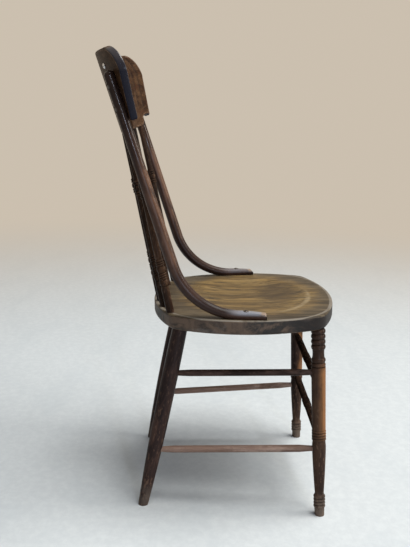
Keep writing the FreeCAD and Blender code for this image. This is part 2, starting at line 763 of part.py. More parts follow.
def spindle_stations(length):
    """The turning of a spindle: plain foot, urns and rings, tapering shaft, ringed bud, plain head."""
    foot = half("spindle_foot_diameter")
    waist = half("spindle_waist_diameter")
    head = half("spindle_head_diameter")
    lower = "spindle_foot_tenon + lower_turning_height"
    lower_rings = f"{lower} + spindle_urn_length"
    urn = f"{lower_rings} + {LOWER_RING_COUNT} * spindle_ring_pitch"
    upper_rings = f"{urn} + spindle_urn_length"
    shaft = f"{upper_rings} + {UPPER_RING_COUNT} * spindle_ring_pitch"
    bud_base = "spindle_foot_tenon + upper_turning_height"
    bud = f"{bud_base} + {BUD_RING_COUNT} * spindle_ring_pitch"
    bud_top = f"{bud} + spindle_bud_length"
    top = f"spindle_foot_tenon + {length} + spindle_head_tenon"
    stations = [(foot, "0"), (foot, lower), (waist, lower)]
    stations.append((waist, lower_rings, "bead", "spindle_urn_rise"))
    stations += beads(waist, lower_rings, "spindle_ring_pitch", "spindle_ring_rise", LOWER_RING_COUNT)
    stations.append((waist, upper_rings, "bead", "spindle_urn_rise"))
    stations += beads(waist, upper_rings, "spindle_ring_pitch", "spindle_ring_rise", UPPER_RING_COUNT)
    stations += [(half("spindle_body_diameter"), f"{shaft} + spindle_ring_pitch"), (waist, bud_base)]
    stations += beads(waist, bud_base, "spindle_ring_pitch", "spindle_ring_rise", BUD_RING_COUNT)
    stations.append((waist, bud_top, "bead", "spindle_urn_rise"))
    stations += beads(waist, bud_top, "spindle_ring_pitch", "spindle_ring_rise", BUD_RING_COUNT)
    stations += [(head, f"{bud_top} + {BUD_RING_COUNT + 1} * spindle_ring_pitch"), (head, top)]
    return stations


def spindle(number):
    """A spindle with the tenons that stand in the seat and in the crest rail."""
    name = f"spindle_{number + 1}"
    foot, head = spindle_axis(number)
    along = (head - foot).normalize()
    turning = turned(name + "_turning", spindle_stations((head - foot).Length))
    turning.Placement = Placement(foot - along * value("spindle_foot_tenon"), Rotation(UP, along))
    into_seat = seat_frame.Rotation.multVec(UP) * -1
    into_crest = crest_frame.Rotation.multVec(UP)
    tenon = "spindle_tenon_diameter"
    breadth = "2 * spindle_head_tenon"
    return cut(name, turning, [
        shoulder_cut(name + "_foot_shoulder", foot, into_seat, along, tenon, breadth),
        shoulder_cut(name + "_head_shoulder", head, into_crest, along, tenon, breadth),
    ])


# Crest rail

def crest_slab():
    """The bent board before it is cut to its outline: a sector of a tube, standing on its lower edge."""
    slab = doc.addObject("Part::Cylinder", "crest_outer")
    hollow = doc.addObject("Part::Cylinder", "crest_inner")
    for cylinder, radius in (
        (slab, "crest_arc + crest_thickness / 2"),
        (hollow, "crest_arc - crest_thickness / 2"),
    ):
        bind(cylinder, "Radius", radius)
        bind(cylinder, "Height", "crest_height + crest_crown")
        cylinder.Placement = Placement(Vector(0, -value("crest_arc"), 0), Rotation())
    tube = doc.addObject("Part::Cut", "crest_tube")
    tube.Base = slab
    tube.Tool = hollow
    return tube


def crest_face():
    """The outline of the crest rail from the front, as a prism through the bent board."""
    body = doc.addObject("PartDesign::Body", "crest_face")
    sketch = new_sketch(body, "crest_outline", "XZ_Plane")
    waist = f"{POST_X} + crest_waist_overhang"
    top = f"{POST_X} + crest_ear_overhang"
    corner = f"{top} - crest_corner_width"
    shoulder = "crest_height - crest_corner_height"
    right = [
        (f"{TONGUE_X} - crest_tongue_radius", "0"),
        (TONGUE_X, "crest_tongue_radius", "bead", f"crest_tongue_radius * {QUARTER_ROUND_RISE}"),
        (waist, "crest_cusp_height", "cove", "crest_cove_depth"),
        (top, shoulder),
        (corner, "crest_height", "bead", f"crest_corner_width * {QUARTER_ROUND_RISE}"),
    ]
    shapes = [("bead", "crest_crown")] + [station[2:] for station in reversed(right[1:])]
    left = [
        (f"0 - ({station[0]})", station[1], *shape)
        for station, shape in zip(reversed(right), shapes)
    ]
    outline(sketch, right + left)
    pad = body.newObject("PartDesign::Pad", "crest_face_pad")
    pad.Profile = sketch
    bind(pad, "Length", "crest_arc")
    pad.Midplane = True
    return body


def crest_rail():
    """The crest rail with the sockets of the spindles and the holes of its screws."""
    board = doc.addObject("Part::MultiCommon", "crest_board")
    board.Shapes = [crest_slab(), crest_face()]
    board.Placement = crest_frame
    tools = []
    for number in range(SPINDLE_COUNT):
        foot, head = spindle_axis(number)
        upward = (head - foot).normalize()
        start = head - upward * value("spindle_head_tenon")
        depth = "2 * spindle_head_tenon + socket_end_clearance"
        bore = "spindle_tenon_diameter + 2 * socket_clearance"
        tools.append(rod(f"spindle_{number + 1}_crest_socket", start, upward, bore, depth))
    for label, side in SIDES.items():
        depth = "crest_screw_length + socket_end_clearance"
        for number, (spot, inward) in enumerate(crest_screw_axes(side), start=1):
            tools.append(rod(f"crest_{label}_hole_{number}", spot, inward, SHANK_BORE, depth))
        spot, inward = back_screw_axis(side)
        depth = "back_screw_length + socket_end_clearance"
        tools.append(rod(f"crest_{label}_back_hole", spot, inward, SHANK_BORE, depth))
    return cut("crest_rail", board, tools)


# Posts and screws

def bent_post(label):
    """A post: flat under its foot, bevelled at its tip, domed at its top, lapped on the crest and drilled."""
    side = SIDES[label]
    name = f"bent_post_{label}"
    bar = bent_rod(name + "_bar", side)
    doc.recompute()
    domed = doc.addObject("Part::Fillet", name + "_domed")
    domed.Base = bar
    corner, to_tip, upward = post_axes(side)
    top = corner + upward * post_length()
    domed.Edges = [
        (number, value("post_top_round"), value("post_top_round"))
        for number, edge in enumerate(bar.Shape.Edges, start=1)
        if (edge.BoundBox.Center - top).Length < value("post_top_round")
    ]
    seat_normal = seat_frame.Rotation.multVec(UP)
    under_foot = corner - seat_normal * value("post_foot_diameter / 2 - post_foot_flat")
    sole = beyond_plane(name + "_sole_cut", under_foot, seat_normal * -1, "3 * post_foot_reach")
    planed = plane_cut(name + "_planed_top", side, "post_tip_height", math.degrees(post_foot_fall()))
    bevel = plane_cut(name + "_bevel", side, "post_tip_height - post_tip_bevel", TIP_BEVEL_ANGLE)
    lap = doc.addObject("Part::Cylinder", name + "_lap_cut")
    bind(lap, "Radius", "crest_arc + crest_thickness / 2 + seating_gap")
    bind(lap, "Height", "crest_height + crest_crown")
    lap_centre = Vector(0, -value("crest_arc"), -value("seating_gap"))
    lap.Placement = crest_frame.multiply(Placement(lap_centre, Rotation()))
    tools = [sole, planed, bevel, lap]
    spot, downward = foot_screw_axis(side)
    tools += screw_hole(f"{name}_foot", spot, downward, "post_foot_diameter")
    for number, (spot, inward) in enumerate(crest_screw_axes(side), start=1):
        tools += screw_hole(f"{name}_crest_{number}", spot, inward, "post_head_diameter")
    return cut(name, domed, tools)


def screws():
    """The screws, in one node for each place that they hold."""
    foot_screws = []
    crest_screws = []
    back_screws = []
    for label, side in SIDES.items():
        spot, downward = foot_screw_axis(side)
        foot_screws.append(screw(f"foot_screw_{label}", spot, downward, "foot_screw_length"))
        for number, (spot, inward) in enumerate(crest_screw_axes(side), start=1):
            crest_screws.append(screw(f"crest_screw_{label}_{number}", spot, inward, "crest_screw_length"))
        spot, inward = back_screw_axis(side)
        back_screws.append(screw(f"back_screw_{label}", spot, inward, "back_screw_length"))
    return [
        group("post_foot_screws", foot_screws),
        group("post_crest_screws", crest_screws),
        group("crest_back_screws", back_screws),
    ]


nodes = [seat()]
nodes += [leg(end, label) for end in ("front", "rear") for label in SIDES]
nodes += [stretcher(name) for name in STRETCHERS]
nodes += [spindle(number) for number in range(SPINDLE_COUNT)]
nodes.append(crest_rail())
nodes += [bent_post(label) for label in SIDES]
nodes += screws()
doc.recompute()

for item in doc.Objects:
    if "Invalid" in item.State or "Error" in item.State:
        raise RuntimeError(f"{item.Name} failed: {item.State}")
for node in nodes:
    if node.Shape.isNull() or not node.Shape.isValid() or not node.Shape.Solids:
        raise RuntimeError(f"{node.Label} has no valid solid")

os.makedirs("parts", exist_ok=True)
for node in nodes:
    node.Shape.exportStep(f"parts/{node.Label}.step")
    print(node.Label, len(node.Shape.Solids), "solid", round(node.Shape.Volume), "mm3")
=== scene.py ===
"""Looks of the spindle back chair: old dark varnish, a worn golden seat, pale floor and soft light.

Metres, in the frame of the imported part: +Z up, the sitter faces -Y, the sitter's left is +X.
"""
import math

import bmesh
import bpy
import numpy as np
from mathutils import Matrix, Vector
from mathutils.geometry import delaunay_2d_cdt


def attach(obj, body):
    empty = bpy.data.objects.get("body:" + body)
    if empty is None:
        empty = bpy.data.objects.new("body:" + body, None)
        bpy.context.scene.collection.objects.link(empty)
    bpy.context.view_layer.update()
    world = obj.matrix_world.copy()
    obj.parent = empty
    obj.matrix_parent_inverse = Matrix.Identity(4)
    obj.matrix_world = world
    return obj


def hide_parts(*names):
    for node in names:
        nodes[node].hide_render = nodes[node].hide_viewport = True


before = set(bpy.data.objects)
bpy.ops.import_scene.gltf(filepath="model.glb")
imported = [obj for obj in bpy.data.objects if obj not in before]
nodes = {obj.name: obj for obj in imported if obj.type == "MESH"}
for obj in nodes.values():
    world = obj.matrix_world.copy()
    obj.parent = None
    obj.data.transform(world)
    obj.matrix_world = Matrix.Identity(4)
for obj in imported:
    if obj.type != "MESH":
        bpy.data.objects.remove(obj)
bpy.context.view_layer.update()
scene = bpy.context.scene
UP = Vector((0, 0, 1))

# Seat: the plank is what four discs share, with rounded corners, each disc as (radius, centre x, centre y).
SEAT_DISCS = (
    (0.340, 0.0, 0.1254),
    (0.290, 0.0, -0.1826),
    (0.260, -0.084, -0.0626),
    (0.260, 0.084, -0.0626),
)
SEAT_CORNER = 0.034
SEAT_SLOPE = math.radians(2.3)
SEAT_ORIGIN = Vector((0, -0.0536, 0.3505))
DISH_CENTRE = (0.0, -0.0656)
DISH_HALF = (0.131, 0.107)
STAIN_PLACE = (0.03, -0.122, 0)
STAIN_SPREAD = (14, 24, 0)

# Crest rail: its frame's origin and lean, the arc that it is bent to, and the right half of its outline.
# Each corner is (across, up, sagitta of the arc that leads to it).
CREST_ORIGIN = Vector((0, 0.16381, 0.637))
BACK_LEAN = math.radians(19.5)
CREST_ARC = 0.360
CREST_THICKNESS = 0.0105
CREST_OUTLINE = (
    (0.113, 0.0, 0.0),
    (0.127, 0.014, 0.00410),
    (0.155, 0.015, -0.0040),
    (0.172, 0.091, 0.0),
    (0.128, 0.133, 0.01289),
)
CREST_CROWN = 0.005

# Bent posts: half the distance between them, and the sizes that give the line of a post's middle.
POST_X = 0.148
POST_LAP_RADIUS = 0.37225
POST_AXIS_HEIGHT = 0.0055
POST_TOE = math.radians(7.5)
POST_BEND_RADIUS = 0.115


# Node trees

class Graph:
    """A material's node tree, with short calls for the nodes that the looks share."""

    def __init__(self, name):
        self.material = bpy.data.materials.new(name)
        self.material.use_nodes = True
        self.tree = self.material.node_tree
        self.shader = self.tree.nodes["Principled BSDF"]

    def put(self, socket, source):
        """Links a socket to another's output, or gives it a fixed value."""
        if isinstance(source, bpy.types.NodeSocket):
            self.tree.links.new(source, socket)
        else:
            socket.default_value = source

    def node(self, kind, **settings):
        made = self.tree.nodes.new(kind)
        for key, setting in settings.items():
            setattr(made, key, setting)
        return made

    def math(self, operation, first, second=0.0, clamp=False):
        made = self.node("ShaderNodeMath", operation=operation, use_clamp=clamp)
        self.put(made.inputs[0], first)
        self.put(made.inputs[1], second)
        return made.outputs[0]

    def times(self, first, second):
        return self.math("MULTIPLY", first, second)

    def plus(self, first, second):
        return self.math("ADD", first, second)

    def minus(self, first, second):
        return self.math("SUBTRACT", first, second)

    def vector(self, operation, first, second=(0, 0, 0)):
        made = self.node("ShaderNodeVectorMath", operation=operation)
        self.put(made.inputs[0], first)
        self.put(made.inputs[1], second)
        return made.outputs["Value" if operation in ("DISTANCE", "LENGTH") else "Vector"]

    def rise(self, source, low, high):
        """0 below low, 1 above high, smooth between."""
        made = self.node("ShaderNodeMapRange", interpolation_type="SMOOTHSTEP")
        for name, number in (("Value", source), ("From Min", low), ("From Max", high)):
            self.put(made.inputs[name], number)
        return made.outputs["Result"]

    def fall(self, source, low, high):
        """1 below low, 0 above high, smooth between."""
        return self.minus(1.0, self.rise(source, low, high))

    def band(self, source, low, high, soft):
        """1 between low and high, 0 outside, with soft borders."""
        return self.times(self.rise(source, low - soft, low), self.fall(source, high, high + soft))

    def span(self, source, low, high):
        """A 0 to 1 value spread from low to high."""
        made = self.node("ShaderNodeMapRange")
        for name, number in (("Value", source), ("To Min", low), ("To Max", high)):
            self.put(made.inputs[name], number)
        return made.outputs["Result"]

    def mix(self, share, first, second):
        """The first colour where the share is 0, the second where it is 1."""
        made = self.node("ShaderNodeMix", data_type="RGBA")
        self.put(made.inputs[0], share)
        for socket, colour in ((made.inputs[6], first), (made.inputs[7], second)):
            self.put(socket, colour if isinstance(colour, bpy.types.NodeSocket) else (*colour, 1.0))
        return made.outputs[2]

    def tint(self, colour, tone, mask, strength):
        """A colour with a tone laid over it where a mask says so, at a strength."""
        return self.mix(self.times(mask, strength), colour, tone)

    def noise(self, place, stretch, detail=3.0, rough=0.55, warp=0.0):
        """Noise over a place that is first scaled by a stretch, in cycles per metre along each axis."""
        made = self.node("ShaderNodeTexNoise")
        self.put(made.inputs["Vector"], self.vector("MULTIPLY", place, stretch))
        for name, number in (("Scale", 1.0), ("Detail", detail), ("Roughness", rough), ("Distortion", warp)):
            self.put(made.inputs[name], number)
        return made.outputs["Fac"]

    def place(self):
        """The point of the surface in the chair's frame."""
        return self.node("ShaderNodeTexCoord").outputs["Object"]

    def facing(self):
        """The way that the surface faces, in the chair's frame."""
        return self.node("ShaderNodeNewGeometry").outputs["Normal"]

    def attribute(self, name, output="Fac"):
        """A value that the mesh carries at its points."""
        return self.node("ShaderNodeAttribute", attribute_name=name).outputs[output]

    def along(self, place, axis):
        """The place turned so that an axis, the way of the grain, becomes Z."""
        turn = Vector(axis).normalized().rotation_difference(UP)
        made = self.node("ShaderNodeVectorRotate", rotation_type="AXIS_ANGLE")
        self.put(made.inputs["Vector"], place)
        self.put(made.inputs["Axis"], turn.axis)
        self.put(made.inputs["Angle"], turn.angle)
        return made.outputs["Vector"]

    def part(self, source, letter):
        """One coordinate of a vector."""
        made = self.node("ShaderNodeSeparateXYZ")
        self.put(made.inputs[0], source)
        return made.outputs[letter]

    def hidden(self, distance, inside=False):
        """1 where the surface is open, towards 0 in hollows, or at sharp edges where it looks inside."""
        made = self.node("ShaderNodeAmbientOcclusion", samples=6, only_local=True, inside=inside)
        self.put(made.inputs["Distance"], distance)
        return made.outputs["AO"]

    def bump(self, height, depth, strength):
        made = self.node("ShaderNodeBump")
        self.put(made.inputs["Height"], height)
        self.put(made.inputs["Distance"], depth)
        self.put(made.inputs["Strength"], strength)
        return made.outputs["Normal"]

    def finish(self, colour, roughness, normal, **settings):
        """Sets the shader's inputs; a setting's name has underscores for spaces."""
        for name, source in (("Base Color", colour), ("Roughness", roughness), ("Normal", normal)):
            self.put(self.shader.inputs[name], source)
        for name, number in settings.items():
            self.put(self.shader.inputs[name.replace("_", " ")], number)
        return self.material


# Wood and steel. Tones are linear colours; ranges are where a mask rises or falls.

WORN_TONE = (0.170, 0.100, 0.065)
SCUFFED_TONE = (0.150, 0.115, 0.088)
CHIPPED_TONE = (0.270, 0.200, 0.150)
# Painted sheen: bluish grey where light glints on the top of a post's foot.
FOOT_SHEEN_TONE = (0.270, 0.280, 0.310)
BLACK_SHARE = 0.3

# Dark, middle and light varnish of each kind of piece.
TONES = {
    "front_leg": ((0.018, 0.010, 0.008), (0.046, 0.025, 0.016), (0.080, 0.043, 0.024)),
    "rear_leg": ((0.013, 0.008, 0.008), (0.038, 0.021, 0.017), (0.076, 0.041, 0.030)),
    "front_stretcher": ((0.007, 0.005, 0.004), (0.019, 0.011, 0.008), (0.045, 0.026, 0.018)),
    "side_stretcher": ((0.018, 0.011, 0.009), (0.046, 0.027, 0.022), (0.085, 0.052, 0.040)),
    "lower_stretcher": ((0.105, 0.062, 0.046), (0.270, 0.176, 0.132), (0.400, 0.290, 0.230)),
    "spindle": ((0.010, 0.006, 0.004), (0.034, 0.017, 0.010), (0.072, 0.037, 0.020)),
    "post": ((0.013, 0.007, 0.006), (0.052, 0.025, 0.016), (0.098, 0.049, 0.031)),
}
CREST_TONES = {
    "dark": (0.026, 0.012, 0.006),
    "brown": (0.066, 0.032, 0.014),
    "light": (0.105, 0.055, 0.027),
    "red": (0.070, 0.024, 0.012),
    "ring": (0.017, 0.010, 0.008),
    "line": (0.020, 0.011, 0.007),
    "pore": (0.010, 0.007, 0.005),
    "pressed": (0.011, 0.008, 0.008),
    # Painted shade on faces turned to the back.
    "behind": (0.020, 0.010, 0.006),
    # Dark end grain, painted bluish as shade and reflection.
    "end": (0.012, 0.013, 0.022),
}
GOLDEN_TONES = {
    "dark": (0.112, 0.070, 0.025),
    "middle": (0.222, 0.142, 0.050),
    "shadow": (0.054, 0.034, 0.016),
    "light": (0.270, 0.190, 0.080),
    "line": (0.030, 0.020, 0.011),
}
RIM_TONES = {
    "dark": (0.050, 0.037, 0.022),
    "middle": (0.102, 0.076, 0.044),
    "shadow": (0.026, 0.019, 0.012),
    "light": (0.155, 0.122, 0.075),
    "line": (0.018, 0.013, 0.009),
}
SEAT_TONES = {
    "stain": (0.046, 0.030, 0.016),
    "blot": (0.066, 0.047, 0.032),
    "line": (0.040, 0.027, 0.016),
    "pore": (0.035, 0.025, 0.019),
    # Painted highlight along the front of the dish.
    "lightened": (0.290, 0.225, 0.130),
    "side_dark": (0.020, 0.018, 0.016),
    "side_brown": (0.105, 0.070, 0.048),
    "side_streak": (0.034, 0.026, 0.023),
    "side_worn": (0.145, 0.122, 0.108),
    "side_front": (0.011, 0.009, 0.009),
    "underside": (0.105, 0.070, 0.045),
    # Worn top edge, painted pale as a highlight too.
    "edge": (0.230, 0.205, 0.170),
}
GRIMY_STEEL = ((0.030, 0.025, 0.022), (0.120, 0.105, 0.095))
BARE_STEEL = ((0.55, 0.54, 0.53), (0.85, 0.84, 0.83))
# The dark of the grime and painted shade in a screw's hollows.
STEEL_GRIME_AND_SHADE = (0.012, 0.010, 0.009)

# Heights above the floor: where varnish is worn thin, as (low, high, tone), and above which it is thick. The worn
# band lightens only the front-facing side, which is painted light from the front.
WARM_COLUMN = (0.160, 0.255, (0.300, 0.132, 0.048))
WARM_POST = (0.45, 0.62, (0.150, 0.076, 0.044))
WARM_SOFT = 0.03
CAPITAL_HEIGHT = 0.272
REAR_DARK_HEIGHT = 0.25
POST_DARK_HEIGHT = 0.60
THICK_SOFT = 0.012
FOOT_WEAR_RANGE = (0.02, 0.24)
SCUFF_RANGE = (0.014, 0.050)

# Lengths along a post's rod, 0 where its bend starts and negative towards its tip on the seat.
# The stretch of the bend that is darkened as painted shade.
POST_SHADED_BEND = (0.030, 0.120)
POST_BEND_SOFT = 0.03
# The stretch where the painted sheen on the top of the foot fades out.
POST_FOOT_SHEEN_RANGE = (-0.010, 0.030)
POST_CHIP_RANGE = (-0.0365, -0.0310)
POST_TIP_RANGE = (-0.0428, -0.0418)

# Distances from the outline of the crest rail, how far out its ends begin, and the pitch of its figure.
CREST_ARRIS = (0.0018, 0.0034)
CREST_ARRIS_SOFT = 0.0008
CREST_SIDE_RANGE = (0.0010, 0.0022)
CREST_END_RANGE = (0.140, 0.152)
CREST_RINGS_PER_METRE = 230.0

# Distance of the pale edge, which is wear and a painted highlight, from the seat's rim.
SEAT_EDGE = (0.0004, 0.0050)
SEAT_EDGE_SOFT = 0.0016

# How far hollows and edges are looked for, and the depths of the fine relief.
GRIME_AND_SHADE_REACH = 0.006
RIDGE_REACH = 0.0022
STEEL_GRIME_AND_SHADE_REACH = 0.002
WOOD_RELIEF = 0.0003
POST_RELIEF = 0.0001
SEAT_RELIEF = 0.0005
STEEL_RELIEF = 0.0002
FLOOR_RELIEF = 0.0005

PORE_RANGE = (0.60, 0.70)


def grain_of(graph, place, shift, stretch=1.0):
    """Broad streaks, fine lines and pores of wood whose grain runs along Z of a place."""
    moved = graph.vector("ADD", place, shift)
    broad = graph.noise(moved, (45, 45, 3.0 * stretch), detail=3, rough=0.6, warp=0.4)
    fine = graph.noise(moved, (420, 420, 9.0 * stretch), detail=4, rough=0.65, warp=0.3)
    pores = graph.noise(moved, (1500, 1500, 45 * stretch), detail=2, rough=0.5)
    return broad, fine, pores


def post_wear(graph, colour, grain, facing, spots, dark, black, foot_sheen):
    """A bent post's own marks: a bend darkened as painted shade, a painted bluish sheen on the top of its foot, a
    chipped edge and a black end at its tip.
    """
    upward = graph.rise(graph.part(facing, "Z"), -0.1, 0.6)
    along = graph.part(grain, "Z")
    # Painted shade: the bend, which faces up to the light, is darkened.
    colour = graph.tint(colour, dark, graph.band(along, *POST_SHADED_BEND, POST_BEND_SOFT), 0.55)
    # Painted sheen: bluish grey on the top of the foot, where light glints.
    foot_sheen_mask = graph.times(graph.fall(along, *POST_FOOT_SHEEN_RANGE), graph.rise(spots, 0.26, 0.48))
    colour = graph.tint(colour, FOOT_SHEEN_TONE, foot_sheen_mask, graph.times(upward, foot_sheen))
    chip = graph.times(graph.fall(along, *POST_CHIP_RANGE), upward)
    colour = graph.tint(colour, CHIPPED_TONE, chip, graph.rise(spots, 0.28, 0.46))
    return graph.tint(colour, black, graph.fall(along, *POST_TIP_RANGE), 0.95)


def varnished(name, tones, shift, axis=None, worn=0.3, foot_wear=0.0, gloss=0.30, sheen=0.09, warm=None,
              dark_above=None, foot_sheen=0.0):
    """Old dark varnish on turned or bent wood: streaks, pores, rubbed spots and rings, and hollows darkened as grime
    and painted shade.

    Between the warm heights the varnish has worn thin and the wood shows through, lighter only on the front-facing
    side, which is painted light from the front. Above the dark height it has stayed thick. Without an axis the piece
    is a bent post, whose mesh carries the way of its grain.
    """
    graph = Graph(name)
    place = graph.place()
    bent = axis is None
    grain = graph.attribute("grain", "Vector") if bent else graph.along(place, axis)
    broad, fine, pores = grain_of(graph, grain, shift)
    moved = graph.vector("ADD", grain, shift)
    spots = graph.noise(moved, (95, 95, 30), detail=6, rough=0.72, warp=0.6)
    flecks = graph.noise(moved, (260, 260, 90), detail=4, rough=0.65)
    patches = graph.noise(moved, (40, 40, 14), detail=5, rough=0.68, warp=0.5)
    height = graph.part(place, "Z")
    facing = graph.facing()
    dark, middle, light = tones
    black = tuple(BLACK_SHARE * part for part in dark)

    colour = graph.mix(graph.rise(broad, 0.36, 0.66), dark, middle)
    colour = graph.tint(colour, light, graph.rise(patches, 0.46, 0.64), 0.6)
    if warm:
        low, high, tone = warm
        thin_and_lit = graph.times(graph.band(height, low, high, WARM_SOFT), graph.rise(patches, 0.34, 0.56))
        # Painted light: the worn band shows only on faces turned to the front (-Y), as if lit from there.
        thin_and_lit = graph.times(thin_and_lit, graph.fall(graph.part(facing, "Y"), -0.75, 0.40))
        colour = graph.tint(colour, tone, thin_and_lit, 0.8)
    if dark_above:
        thick = graph.rise(height, dark_above - THICK_SOFT, dark_above + THICK_SOFT)
        colour = graph.tint(colour, dark, thick, 0.7)
    colour = graph.tint(colour, dark, graph.rise(fine, 0.50, 0.70), 0.55)
    colour = graph.tint(colour, black, graph.rise(pores, *PORE_RANGE), 0.5)

    level = graph.plus(worn, graph.times(graph.fall(height, *FOOT_WEAR_RANGE), foot_wear))
    lightened = graph.rise(graph.plus(spots, graph.times(level, 0.12)), 0.62, 0.74)
    scratched = graph.times(graph.rise(flecks, 0.57, 0.64), graph.math("ADD", 0.05, level, clamp=True))
    bare = graph.math("MAXIMUM", graph.times(lightened, 0.5), graph.times(scratched, 0.8))
    ridge = graph.times(graph.fall(graph.hidden(RIDGE_REACH, inside=True), 0.45, 0.85), worn)
    bare = graph.math("MAXIMUM", bare, graph.times(ridge, graph.rise(spots, 0.38, 0.58)))
    colour = graph.mix(bare, colour, WORN_TONE)
    if foot_wear:
        scuffed = graph.times(graph.fall(height, *SCUFF_RANGE), graph.rise(spots, 0.30, 0.52))
        colour = graph.tint(colour, SCUFFED_TONE, scuffed, foot_wear)
    # Hollows darkened towards black: grime, and painted shade where the hollows fall dark.
    grime_and_shade = graph.fall(graph.hidden(GRIME_AND_SHADE_REACH), 0.50, 0.94)
    colour = graph.tint(colour, black, grime_and_shade, 0.95)
    if bent:
        colour = post_wear(graph, colour, grain, facing, spots, dark, black, foot_sheen)

    roughness = graph.plus(gloss, graph.times(bare, 0.25))
    if dark_above:
        roughness = graph.plus(roughness, graph.times(graph.minus(1.0, thick), 0.16))
    roughness = graph.plus(roughness, graph.times(graph.rise(spots, 0.35, 0.7), 0.10))
    relief = graph.plus(graph.times(fine, 0.5), graph.times(pores, -0.35))
    relief = graph.minus(relief, graph.times(scratched, 0.5))
    normal = graph.bump(relief, POST_RELIEF if bent else WOOD_RELIEF, 0.6)
    return graph.finish(colour, roughness, normal, Specular_IOR_Level=sheen)


def crest_wood(shift):
    """The crest rail: brown figured faces with pressed border lines, rubbed edges, a back darkened as painted shade,
    and ends of dark end grain with painted shade and bluish reflection.
    """
    graph = Graph("crest_wood")
    place = graph.place()
    grain = graph.along(place, (1, 0, 0))
    broad, fine, pores = grain_of(graph, grain, shift, 1.6)
    swirl = graph.noise(graph.vector("ADD", place, shift), (30, 40, 75), detail=5, rough=0.7, warp=1.2)
    spots = graph.noise(place, (60, 60, 60), detail=5, rough=0.7, warp=0.4)
    border, arch, pressed = (graph.attribute(label) for label in ("border", "arch", "pressed"))
    facing = graph.facing()
    upward = graph.part(facing, "Z")
    tones = CREST_TONES

    rings = graph.plus(graph.times(arch, CREST_RINGS_PER_METRE), graph.span(swirl, 0.0, 9.0))
    rings = graph.math("PINGPONG", rings, 0.5)
    colour = graph.mix(graph.rise(broad, 0.38, 0.62), tones["dark"], tones["brown"])
    colour = graph.tint(colour, tones["light"], graph.rise(swirl, 0.46, 0.60), 0.6)
    colour = graph.tint(colour, tones["red"], graph.fall(swirl, 0.36, 0.45), 0.6)
    colour = graph.tint(colour, tones["ring"], graph.fall(rings, 0.10, 0.28), 0.45)
    colour = graph.tint(colour, tones["line"], graph.rise(fine, 0.50, 0.66), 0.5)
    colour = graph.tint(colour, tones["pore"], graph.rise(pores, *PORE_RANGE), 0.5)
    colour = graph.tint(colour, tones["pressed"], pressed, 0.45)
    # Painted shade: faces turned to the back (+Y) are darkened.
    colour = graph.tint(colour, tones["behind"], graph.rise(graph.part(facing, "Y"), 0.2, 0.6), 0.4)
    arris = graph.times(graph.band(border, *CREST_ARRIS, CREST_ARRIS_SOFT), graph.rise(spots, 0.40, 0.56))
    colour = graph.tint(colour, WORN_TONE, arris, 0.55)
    # The end walls: dark end grain, with painted shade and a painted bluish reflection in their colour.
    end = graph.rise(graph.math("ABSOLUTE", graph.part(place, "X")), *CREST_END_RANGE)
    side = graph.times(graph.fall(border, *CREST_SIDE_RANGE), end)
    colour = graph.tint(colour, tones["end"], side, 0.95)

    roughness = graph.minus(graph.span(spots, 0.34, 0.54), graph.times(side, 0.22))
    relief = graph.minus(graph.times(fine, 0.5), graph.times(pores, 0.35))
    sheen = graph.plus(
        graph.span(graph.rise(upward, -0.4, 0.1), 0.0, 0.25),
        graph.times(graph.rise(upward, 0.15, 0.55), 0.45),
    )
    sheen = graph.plus(0.04, graph.times(side, sheen))
    normal = graph.bump(relief, WOOD_RELIEF, 0.6)
    return graph.finish(colour, roughness, normal, Specular_IOR_Level=sheen)


def rim_distance(graph, place):
    """How far inside the seat's rim a point lies, in plan."""
    plan = graph.vector("MULTIPLY", place, (1, 1, 0))
    nearest, outside = None, None
    for radius, x, y in SEAT_DISCS:
        reach = graph.vector("DISTANCE", plan, (x, y, 0))
        inside = graph.minus(radius - SEAT_CORNER, reach)
        beyond = graph.math("POWER", graph.math("MAXIMUM", graph.times(inside, -1.0), 0.0), 2.0)
        nearest = inside if nearest is None else graph.math("MINIMUM", nearest, inside)
        outside = beyond if outside is None else graph.plus(outside, beyond)
    depth = graph.minus(graph.math("MAXIMUM", nearest, 0.0), graph.math("SQRT", outside))
    return graph.plus(depth, SEAT_CORNER)


def figured(graph, tones, broad, figure, lines, broad_range, light_range, line_share):
    """The figure of the seat's plank: streaks, shadows and lights along the grain, and dark lines."""
    colour = graph.mix(graph.rise(broad, *broad_range), tones["dark"], tones["middle"])
    colour = graph.tint(colour, tones["shadow"], graph.fall(figure, 0.40, 0.46), 0.7)
    colour = graph.tint(colour, tones["light"], graph.rise(figure, *light_range), 0.6)
    return graph.tint(colour, tones["line"], lines, line_share)


def seat_side(graph, place, spots):
    """The colour down the seat's side: brown and dark patches, streaks, pale wear, black towards the front."""
    streaks = graph.noise(place, (90, 70, 30), detail=5, rough=0.7, warp=0.7)
    patches = graph.noise(place, (14, 14, 20), detail=5, rough=0.7, warp=0.5)
    tones = SEAT_TONES
    side = graph.mix(graph.rise(patches, 0.43, 0.57), tones["side_dark"], tones["side_brown"])
    side = graph.tint(side, tones["side_streak"], graph.rise(streaks, 0.46, 0.66), 0.5)
    side = graph.tint(side, tones["side_worn"], graph.rise(spots, 0.54, 0.68), 0.4)
    front = graph.fall(graph.plus(graph.part(place, "Y"), graph.span(patches, -0.03, 0.03)), -0.17, -0.11)
    return graph.tint(side, tones["side_front"], front, 0.95)


